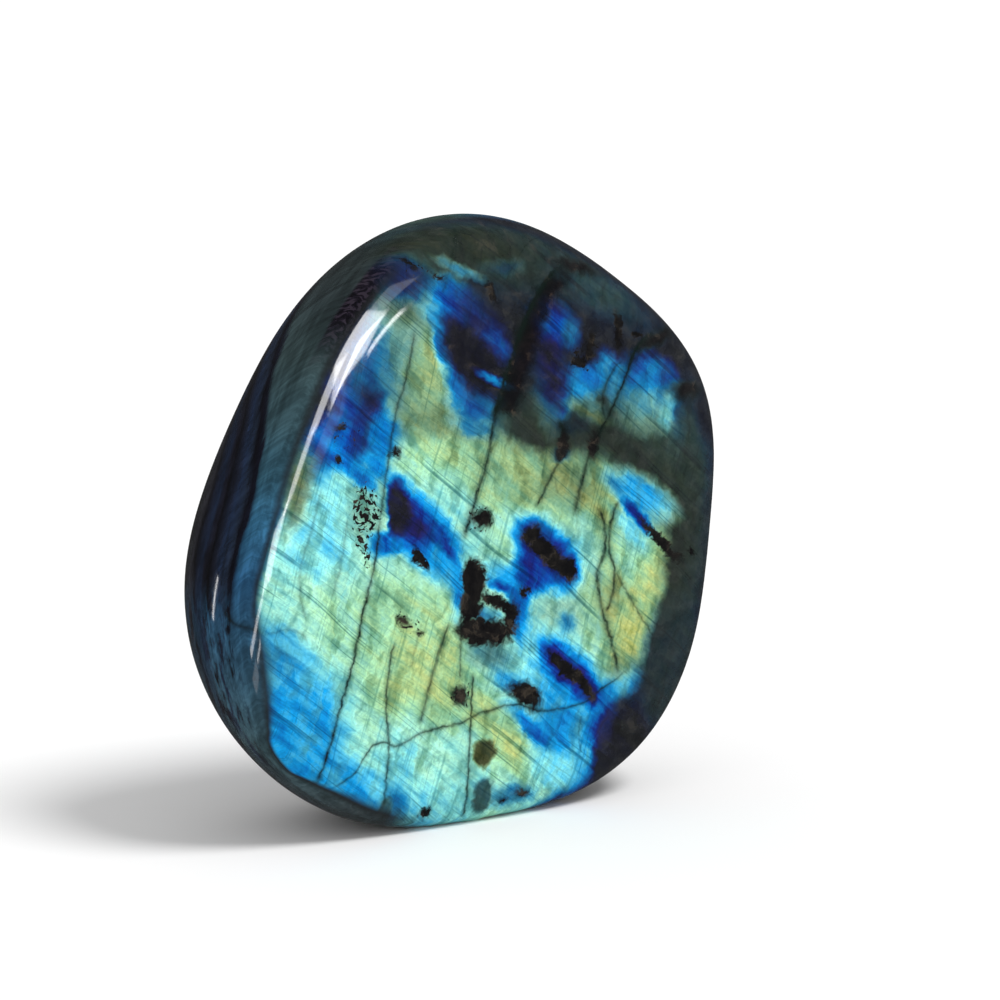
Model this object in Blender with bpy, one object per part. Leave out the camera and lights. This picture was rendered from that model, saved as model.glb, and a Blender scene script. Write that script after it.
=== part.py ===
"""A polished labradorite freeform that stands on its own sawn base.

Metres, +Z up. The origin is the middle of the flat base, and the broad front
face looks along -Y. The stone is the meeting of three smooth surfaces: a rim
that follows two outlines, a nearly flat front face and a domed back.
"""

import math

import bmesh
import bpy
import numpy as np

NAME = "labradorite_freeform"
NODE = "labradorite_stone"

# The middle of the stone, measured from the middle of its base.
CENTRE = np.array([0.0005, 0.0028, 0.0600])

# The outline of the stone where it meets the front face and the back, as radii
# from the centre at even steps, starting at +X and turning towards +Z.
FRONT_OUTLINE = (
    0.0562, 0.0588, 0.0570, 0.0570, 0.0578, 0.0558, 0.0510, 0.0485,
    0.0518, 0.0594, 0.0650, 0.0650, 0.0622, 0.0638, 0.0626, 0.0575,
)
BACK_OUTLINE = (
    0.0550, 0.0575, 0.0560, 0.0572, 0.0592, 0.0565, 0.0525, 0.0510,
    0.0550, 0.0600, 0.0622, 0.0625, 0.0622, 0.0638, 0.0618, 0.0565,
)

# The front outline lies this far in front of the centre, and the back outline
# as far behind it.
OUTLINE_DEPTH = 0.0160

# The two broad faces: how far from the centre they lie, how they lean, and how
# much they dome over the square of the distance from the centre, per metre.
FRONT_DEPTH = 0.0185
FRONT_LEAN = math.radians(3.0)
FRONT_CROWN = 0.5
BACK_DEPTH = 0.0190
BACK_LEAN = math.radians(5.0)
BACK_CROWN = 2.2

# The rim falls away from its widest line, by this much at the depth below.
RIM_BULGE = 0.0015
RIM_BULGE_DEPTH = 0.0180

# How softly the faces run into the rim. The front edge is tighter than the
# back one, and softens towards the top.
FRONT_EDGE = 0.0032
FRONT_EDGE_TOP_GAIN = 0.5
FRONT_EDGE_TOP_HEIGHT = 0.0600
BACK_EDGE = 0.0055

# The box that is blown up into the stone: half sizes, and faces along each side.
BOX_HALF = np.array([0.045, 0.017, 0.052])
BOX_FACES = (26, 12, 30)

# The search for the surface along a line from the centre.
SEARCH_REACH = 0.1
SEARCH_STEPS = 40

# Points this close to the base's plane are moved onto it.
BASE_SNAP = 0.0003

STONE_COLOUR = (0.035, 0.085, 0.110, 1.0)
STONE_ROUGHNESS = 0.06
STONE_IOR = 1.56


def clear_scene():
    for item in list(bpy.data.objects):
        bpy.data.objects.remove(item, do_unlink=True)


def outline_radius(outline, angle):
    """A smooth closed curve through evenly spaced radii, as a Fourier series."""
    count = len(outline)
    waves = np.fft.rfft(outline) / count
    radius = np.full(angle.shape, waves[0].real)
    for order in range(1, count // 2):
        radius += 2.0 * (waves[order].real * np.cos(order * angle)
                         - waves[order].imag * np.sin(order * angle))
    radius += waves[count // 2].real * np.cos(count // 2 * angle)
    return radius


def smooth_max(first, second, softness):
    """The larger of two distances, with the corner between them rounded."""
    larger = np.maximum(first, second)
    gap = np.abs(first - second) / softness
    return larger + softness * np.log1p(np.exp(-gap))


def stone_distance(offsets):
    """Below zero inside the stone. Offsets are measured from the centre."""
    x, y, z = offsets.T
    reach = np.hypot(x, z)
    angle = np.arctan2(z, x)

    back_share = np.clip((y + OUTLINE_DEPTH) / (2.0 * OUTLINE_DEPTH), -0.3, 1.3)
    outline = (outline_radius(FRONT_OUTLINE, angle) * (1.0 - back_share)
               + outline_radius(BACK_OUTLINE, angle) * back_share)
    rim = reach - outline + RIM_BULGE * (y / RIM_BULGE_DEPTH) ** 2

    front = -FRONT_DEPTH - y + math.tan(FRONT_LEAN) * z + FRONT_CROWN * reach ** 2
    back = y - BACK_DEPTH + math.tan(BACK_LEAN) * z + BACK_CROWN * reach ** 2

    height_share = np.clip(z / FRONT_EDGE_TOP_HEIGHT, 0.0, 1.0)
    front_edge = FRONT_EDGE * (1.0 + FRONT_EDGE_TOP_GAIN * height_share ** 1.5)
    shape = smooth_max(rim, front, front_edge)
    return smooth_max(shape, back, BACK_EDGE)


def points_on_stone(directions):
    """Where lines from the centre along the directions leave the stone."""
    near = np.zeros(len(directions))
    far = np.full(len(directions), SEARCH_REACH)
    for _ in range(SEARCH_STEPS):
        middle = 0.5 * (near + far)
        inside = stone_distance(directions * middle[:, None]) < 0.0
        near = np.where(inside, middle, near)
        far = np.where(inside, far, middle)
    return CENTRE + directions * (0.5 * (near + far))[:, None]


def box_cage():
    """A cube whose sides are cut into a grid, with closer lines at its edges."""
    cage = bmesh.new()
    bmesh.ops.create_cube(cage, size=2.0)
    for axis, faces in enumerate(BOX_FACES):
        along = [edge for edge in cage.edges
                 if abs(edge.verts[0].co[axis] - edge.verts[1].co[axis]) > 1.0]
        bmesh.ops.subdivide_edges(cage, edges=along, cuts=faces - 1)
    return cage


def blow_up(cage):
    """Push each point of the cage out or in to the stone's surface."""
    corners = np.array([vertex.co[:] for vertex in cage.verts])
    directions = np.sin(corners * (math.pi / 2.0)) * BOX_HALF
    directions /= np.linalg.norm(directions, axis=1)[:, None]
    for vertex, point in zip(cage.verts, points_on_stone(directions)):
        vertex.co = point


def saw_base(stone):
    """Cut the stone flat at z = 0 and close the cut with one face."""
    everything = stone.verts[:] + stone.edges[:] + stone.faces[:]
    cut = bmesh.ops.bisect_plane(
        stone, geom=everything, dist=BASE_SNAP, plane_co=(0.0, 0.0, 0.0),
        plane_no=(0.0, 0.0, 1.0), clear_inner=True)
    rim = [item for item in cut["geom_cut"] if isinstance(item, bmesh.types.BMEdge)]
    for edge in rim:
        for vertex in edge.verts:
            vertex.co.z = 0.0
    bmesh.ops.contextual_create(stone, geom=rim)
    bmesh.ops.recalc_face_normals(stone, faces=stone.faces[:])


def stone_material():
    material = bpy.data.materials.new("polished_labradorite")
    material.use_nodes = True
    shader = material.node_tree.nodes["Principled BSDF"]
    shader.inputs["Base Color"].default_value = STONE_COLOUR
    shader.inputs["Metallic"].default_value = 0.0
    shader.inputs["Roughness"].default_value = STONE_ROUGHNESS
    shader.inputs["IOR"].default_value = STONE_IOR
    return material


def make_stone(collection):
    shape = box_cage()
    blow_up(shape)
    saw_base(shape)

    mesh = bpy.data.meshes.new(NODE)
    shape.to_mesh(mesh)
    shape.free()
    mesh.shade_smooth()
    mesh.set_sharp_from_angle(angle=math.radians(40.0))
    mesh.materials.append(stone_material())

    stone = bpy.data.objects.new(NODE, mesh)
    collection.objects.link(stone)
    return stone


def main():
    clear_scene()
    collection = bpy.data.collections.new(NAME)
    bpy.context.scene.collection.children.link(collection)
    make_stone(collection)


main()
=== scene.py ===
"""The looks of a polished labradorite freeform standing on its sawn base."""

import math

import bmesh
import bpy
import numpy as np
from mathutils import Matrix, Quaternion, Vector


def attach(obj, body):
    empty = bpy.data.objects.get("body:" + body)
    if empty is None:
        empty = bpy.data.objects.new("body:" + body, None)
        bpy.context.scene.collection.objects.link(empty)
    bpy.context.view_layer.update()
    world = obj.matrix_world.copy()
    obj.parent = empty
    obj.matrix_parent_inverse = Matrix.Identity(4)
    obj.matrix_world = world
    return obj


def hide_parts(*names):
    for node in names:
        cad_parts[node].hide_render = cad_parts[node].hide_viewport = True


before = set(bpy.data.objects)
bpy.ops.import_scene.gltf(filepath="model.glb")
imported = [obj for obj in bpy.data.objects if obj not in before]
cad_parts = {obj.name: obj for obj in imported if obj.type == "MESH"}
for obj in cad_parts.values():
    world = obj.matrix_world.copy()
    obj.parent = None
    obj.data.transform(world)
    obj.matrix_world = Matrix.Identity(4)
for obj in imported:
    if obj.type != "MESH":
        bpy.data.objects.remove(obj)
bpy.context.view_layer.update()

NODE = "labradorite_stone"
MM = 0.001


# The stone's form, in metres, as in the part's own source

CENTRE = np.array([0.0005, 0.0028, 0.0600])
FRONT_OUTLINE = (
    0.0562, 0.0588, 0.0570, 0.0570, 0.0578, 0.0558, 0.0510, 0.0485,
    0.0518, 0.0594, 0.0650, 0.0650, 0.0622, 0.0638, 0.0626, 0.0575,
)
BACK_OUTLINE = (
    0.0550, 0.0575, 0.0560, 0.0572, 0.0592, 0.0565, 0.0525, 0.0510,
    0.0550, 0.0600, 0.0622, 0.0625, 0.0622, 0.0638, 0.0618, 0.0565,
)
OUTLINE_DEPTH = 0.0160
FRONT_DEPTH = 0.0185
FRONT_LEAN = math.radians(3.0)
FRONT_CROWN = 0.5
BACK_DEPTH = 0.0190
BACK_LEAN = math.radians(5.0)
BACK_CROWN = 2.2
RIM_BULGE = 0.0015
RIM_BULGE_DEPTH = 0.0180
FRONT_EDGE = 0.0032
FRONT_EDGE_TOP_GAIN = 0.5
FRONT_EDGE_TOP_HEIGHT = 0.0600
BACK_EDGE = 0.0055

# The fine mesh: half sizes of the box that is blown up, and faces along each side.
BOX_HALF = np.array([0.045, 0.017, 0.052])
BOX_FACES = (136, 56, 150)
SEARCH_REACH = 0.1
SEARCH_STEPS = 40

# The fine mesh lies this far inside the solid, so it never stands proud of it.
SKIN_INSET = 0.00007

# The hand-polished surface rolls gently, in waves of these lengths and this height.
ROLL_HEIGHT = 0.000035
ROLL_WAVES = (
    ((0.023, 0.040, 0.031), 0.4),
    ((-0.034, 0.027, 0.019), 2.1),
    ((0.017, -0.022, -0.045), 4.0),
)

# The eased edge of the sawn base.
BASE_EASE = 0.00035
BASE_SNAP = 0.0002
SHARP_EDGE = math.radians(40.0)


# Camera and studio

# Where the camera stands round the stone, and where the stone lies in the picture.
CAMERA_AZIMUTH = -30.0
CAMERA_ELEVATION = 10.5
CAMERA_DISTANCE = 0.620
CAMERA_LENS = 114.3
SENSOR = 36.0
NEAREST_SEEN = 0.01
PICTURE = 1000
AIM = Vector((-0.0035, 0.0028, 0.0580))
AIM_PIXEL = (430, 514)

# The dome, how dark the gloss sees it, and the key.
DOME_LIGHT = 0.66
DOME_IN_GLOSS = 0.05
KEY_LIGHT = 2.0
KEY_SPREAD = math.radians(20.0)
KEY_AZIMUTH = 44.0
KEY_ELEVATION = 58.0

FLOOR_SIZE = 80.0
FLOOR_TONES = ((240, 240, 240), (246, 246, 246))
FLOOR_ROUGHNESS = 0.9


def outline_radius(outline, angle):
    """A smooth closed curve through evenly spaced radii, as a Fourier series."""
    count = len(outline)
    waves = np.fft.rfft(outline) / count
    radius = np.full(angle.shape, waves[0].real)
    for order in range(1, count // 2):
        radius += 2.0 * (waves[order].real * np.cos(order * angle)
                         - waves[order].imag * np.sin(order * angle))
    radius += waves[count // 2].real * np.cos(count // 2 * angle)
    return radius


def smooth_max(first, second, softness):
    """The larger of two distances, with the corner between them rounded."""
    larger = np.maximum(first, second)
    gap = np.abs(first - second) / softness
    return larger + softness * np.log1p(np.exp(-gap))


def stone_distance(offsets):
    """Below zero inside the stone. Offsets are measured from the centre."""
    x, y, z = offsets.T
    reach = np.hypot(x, z)
    angle = np.arctan2(z, x)

    back_share = np.clip((y + OUTLINE_DEPTH) / (2.0 * OUTLINE_DEPTH), -0.3, 1.3)
    outline = (outline_radius(FRONT_OUTLINE, angle) * (1.0 - back_share)
               + outline_radius(BACK_OUTLINE, angle) * back_share)
    rim = reach - outline + RIM_BULGE * (y / RIM_BULGE_DEPTH) ** 2

    front = -FRONT_DEPTH - y + math.tan(FRONT_LEAN) * z + FRONT_CROWN * reach ** 2
    back = y - BACK_DEPTH + math.tan(BACK_LEAN) * z + BACK_CROWN * reach ** 2

    height_share = np.clip(z / FRONT_EDGE_TOP_HEIGHT, 0.0, 1.0)
    front_edge = FRONT_EDGE * (1.0 + FRONT_EDGE_TOP_GAIN * height_share ** 1.5)
    shape = smooth_max(rim, front, front_edge)
    return smooth_max(shape, back, BACK_EDGE)


def skin_distance(offsets):
    """The stone's distance with the polisher's gentle rolls, just inside the solid."""
    rolls = np.zeros(len(offsets))
    for wave, start in ROLL_WAVES:
        phase = offsets @ (2.0 * math.pi / np.array(wave)) + start
        rolls += np.sin(phase) / len(ROLL_WAVES)
    return stone_distance(offsets) + SKIN_INSET + ROLL_HEIGHT * (1.0 + rolls) / 2.0


def points_on_stone(directions):
    """Where lines from the centre along the directions leave the stone."""
    near = np.zeros(len(directions))
    far = np.full(len(directions), SEARCH_REACH)
    for _ in range(SEARCH_STEPS):
        middle = 0.5 * (near + far)
        inside = skin_distance(directions * middle[:, None]) < 0.0
        near = np.where(inside, middle, near)
        far = np.where(inside, far, middle)
    return CENTRE + directions * (0.5 * (near + far))[:, None]


def box_cage():
    """A cube whose sides are cut into a grid."""
    cage = bmesh.new()
    bmesh.ops.create_cube(cage, size=2.0)
    for axis, faces in enumerate(BOX_FACES):
        along = [edge for edge in cage.edges
                 if abs(edge.verts[0].co[axis] - edge.verts[1].co[axis]) > 1.0]
        bmesh.ops.subdivide_edges(cage, edges=along, cuts=faces - 1)
    return cage


def blow_up(cage):
    """Push each point of the cage to the stone's surface, with closer lines at its edges."""
    corners = np.array([vertex.co[:] for vertex in cage.verts])
    directions = np.sin(corners * (math.pi / 2.0)) * BOX_HALF
    directions /= np.linalg.norm(directions, axis=1)[:, None]
    for vertex, point in zip(cage.verts, points_on_stone(directions)):
        vertex.co = point


def saw_base(stone):
    """Cut the stone flat at z = 0, close the cut and ease its edge."""
    everything = stone.verts[:] + stone.edges[:] + stone.faces[:]
    cut = bmesh.ops.bisect_plane(
        stone, geom=everything, dist=BASE_SNAP, plane_co=(0.0, 0.0, 0.0),
        plane_no=(0.0, 0.0, 1.0), clear_inner=True)
    rim = [item for item in cut["geom_cut"] if isinstance(item, bmesh.types.BMVert)]
    for vertex in rim:
        vertex.co.z = 0.0
    bmesh.ops.remove_doubles(stone, verts=rim, dist=BASE_SNAP)
    rim = [edge for edge in stone.edges if edge.is_boundary]
    bmesh.ops.contextual_create(stone, geom=rim)
    bmesh.ops.recalc_face_normals(stone, faces=stone.faces[:])
    bmesh.ops.bevel(stone, geom=rim, offset=BASE_EASE, segments=2, profile=0.5,
                    affect="EDGES", clamp_overlap=True)


# Shader helpers: each adds one node and returns its result

SOCKET_TYPES = {
    "VALUE": "NodeSocketFloat",
    "VECTOR": "NodeSocketVector",
    "RGBA": "NodeSocketColor",
}

# The mix node's sockets for the share and the two values, and its result.
MIX_SOCKETS = {
    "VECTOR": ((0, 4, 5), 1),
    "RGBA": ((0, 6, 7), 2),
}


def new_material(name):
    """A material with nodes, its graph and its own shader."""
    material = bpy.data.materials.new(name)
    material.use_nodes = True
    return material, Graph(material.node_tree), material.node_tree.nodes["Principled BSDF"]


class Graph:
    """A node tree, with short calls for the nodes used below."""

    def __init__(self, tree):
        self.tree = tree

    def feed(self, socket, value):
        if isinstance(value, bpy.types.NodeSocket):
            self.tree.links.new(value, socket)
        else:
            socket.default_value = value

    def node(self, kind, **settings):
        made = self.tree.nodes.new(kind)
        for name, value in settings.items():
            setattr(made, name, value)
        return made

    def fed(self, kind, values, **settings):
        """A node with values in its first sockets."""
        made = self.node(kind, **settings)
        for socket, value in zip(made.inputs, values):
            self.feed(socket, value)
        return made

    def math(self, operation, *values):
        return self.fed("ShaderNodeMath", values, operation=operation).outputs[0]

    def product(self, first, *others):
        """Values multiplied together."""
        for value in others:
            first = self.math("MULTIPLY", first, value)
        return first

    def vector(self, operation, *values):
        made = self.fed("ShaderNodeVectorMath", values, operation=operation)
        return made.outputs["Value" if operation == "LENGTH" else "Vector"]

    def step(self, value, start, end, low=0.0, high=1.0):
        """From low to high as value goes from start to end, smoothly at both ends."""
        values = (value, start, end, low, high)
        return self.fed("ShaderNodeMapRange", values, interpolation_type="SMOOTHSTEP").outputs[0]

    def line(self, value, start, end, low=0.0, high=1.0):
        """The same in a straight line."""
        return self.fed("ShaderNodeMapRange", (value, start, end, low, high)).outputs[0]

    def mix(self, kind, share, first, second):
        """Kind is VECTOR or RGBA. Share 0 gives first and 1 gives second."""
        made = self.node("ShaderNodeMix", data_type=kind)
        sockets, result = MIX_SOCKETS[kind]
        for index, item in zip(sockets, (share, first, second)):
            self.feed(made.inputs[index], item)
        return made.outputs[result]

    def shaded(self, colour, shade):
        """Colour multiplied by a shade for each of its channels."""
        product = self.mix("RGBA", 1.0, colour, shade)
        product.node.blend_type = "MULTIPLY"
        return product

    def darkened(self, colour, share, tone):
        """Colour laid over with a dark tone, by share."""
        return self.mix("RGBA", share, colour, paint_tone(tone))

    def noise(self, place, scale, detail=2.0, roughness=0.5, kind="2D"):
        made = self.node("ShaderNodeTexNoise", noise_dimensions=kind)
        self.feed(made.inputs["W" if kind == "1D" else "Vector"], place)
        made.inputs["Scale"].default_value = scale
        made.inputs["Detail"].default_value = detail
        made.inputs["Roughness"].default_value = roughness
        return made.outputs

    def cells(self, place, scale):
        made = self.node("ShaderNodeTexVoronoi", voronoi_dimensions="2D")
        self.feed(made.inputs["Vector"], place)
        made.inputs["Scale"].default_value = scale
        return made.outputs

    def ramp(self, value, stops):
        made = self.fed("ShaderNodeValToRGB", (value,))
        elements = made.color_ramp.elements
        while len(elements) < len(stops):
            elements.new(1.0)
        for element, (position, tone) in zip(elements, stops):
            element.position = position
            element.color = paint_tone(tone)
        return made.outputs[0]

    def curve(self, value, points):
        """A smooth curve through points of 0 to 1 both ways."""
        made = self.node("ShaderNodeFloatCurve")
        self.feed(made.inputs["Value"], value)
        line = made.mapping.curves[0]
        while len(line.points) < len(points):
            line.points.new(0.5, 0.5)
        for point, (x, y) in zip(line.points, points):
            point.location = (x, y)
        made.mapping.update()
        return made.outputs[0]

    def boxed(self, name, inputs, outputs, build):
        """A part of the graph in a group of its own. Long graphs are quicker made so."""
        tree = bpy.data.node_groups.new(name, "ShaderNodeTree")
        inner = Graph(tree)
        sides = [(key, "INPUT", socket.type) for key, socket in inputs.items()]
        sides += [(key, "OUTPUT", kind) for key, kind in outputs]
        for key, side, kind in sides:
            tree.interface.new_socket(key, in_out=side, socket_type=SOCKET_TYPES[kind])
        entry = inner.node("NodeGroupInput")
        results = build(inner, {key: entry.outputs[key] for key in inputs})
        leave = inner.node("NodeGroupOutput")
        for (key, _), result in zip(outputs, results):
            inner.feed(leave.inputs[key], result)
        box = self.node("ShaderNodeGroup", node_tree=tree)
        for key, socket in inputs.items():
            self.feed(box.inputs[key], socket)
        return [box.outputs[key] for key, _ in outputs]

    def parts(self, value):
        return self.fed("ShaderNodeSeparateXYZ", (value,)).outputs

    def joined(self, x, y, z=0.0):
        return self.fed("ShaderNodeCombineXYZ", (x, y, z)).outputs[0]


def paint_tone(tone):
    """A display colour of 0 to 255 as the linear colour that a shader takes."""
    linear = []
    for level in tone:
        share = level / 255.0
        low = share <= 0.04045
        linear.append(share / 12.92 if low else ((share + 0.055) / 1.055) ** 2.4)
    return (*linear, 1.0)


class Sheet:
    """Flat coordinates in millimetres, right and up, kept at each turn once made."""

    def __init__(self, graph, vector):
        self.graph = graph
        self.turned = {0: vector}

    def at(self, turn):
        if turn not in self.turned:
            node = self.graph.node("ShaderNodeMapping", vector_type="POINT")
            self.graph.feed(node.inputs["Vector"], self.turned[0])
            node.inputs["Rotation"].default_value = (0.0, 0.0, -math.radians(turn))
            self.turned[turn] = node.outputs[0]
        return self.turned[turn]

    def stretched(self, turn, along, across):
        """Coordinates for a texture drawn out along a turned direction."""
        size = (1.0 / along, 1.0 / across, 0.0)
        return self.graph.vector("MULTIPLY", self.at(turn), size)

    def across(self, turn):
        return self.graph.parts(self.at(turn))[1]

    def shaken(self, scale, amount, detail, roughness=0.5):
        """A sheet moved about by noise, by up to half of amount."""
        noise = self.graph.noise(self.turned[0], scale, detail, roughness)
        about = self.graph.vector("SUBTRACT", noise["Color"], (0.5, 0.5, 0.5))
        size = (amount, amount, 0.0)
        return Sheet(self.graph,
                     self.graph.vector("MULTIPLY_ADD", about, size, self.turned[0]))

    def cover(self, centre, radii, turn, softness):
        """1 inside an ellipse and 0 outside it, with a soft edge."""
        angle = math.radians(turn)
        right = centre[0] * math.cos(angle) + centre[1] * math.sin(angle)
        up = centre[1] * math.cos(angle) - centre[0] * math.sin(angle)
        size = (1.0 / radii[0], 1.0 / radii[1], 0.0)
        start = (-right / radii[0], -up / radii[1], 0.0)
        local = self.graph.vector("MULTIPLY_ADD", self.at(turn), size, start)
        reach = self.graph.vector("LENGTH", local)
        return self.graph.step(reach, 1.0 + softness, 1.0 - softness)


# The flash runs through these colours as its order rises, from none to gold.
FLASH_ORDERS = (
    (0.00, (22, 18, 24)),
    (0.09, (30, 24, 60)),
    (0.16, (36, 34, 118)),
    (0.22, (18, 48, 150)),
    (0.28, (8, 84, 184)),
    (0.36, (6, 132, 218)),
    (0.44, (22, 174, 246)),
    (0.53, (98, 216, 250)),
    (0.62, (160, 250, 242)),
    (0.70, (184, 252, 224)),
    (0.78, (182, 240, 188)),
    (0.86, (192, 226, 156)),
    (0.93, (214, 222, 136)),
    (1.00, (200, 200, 98)),
)

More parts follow.
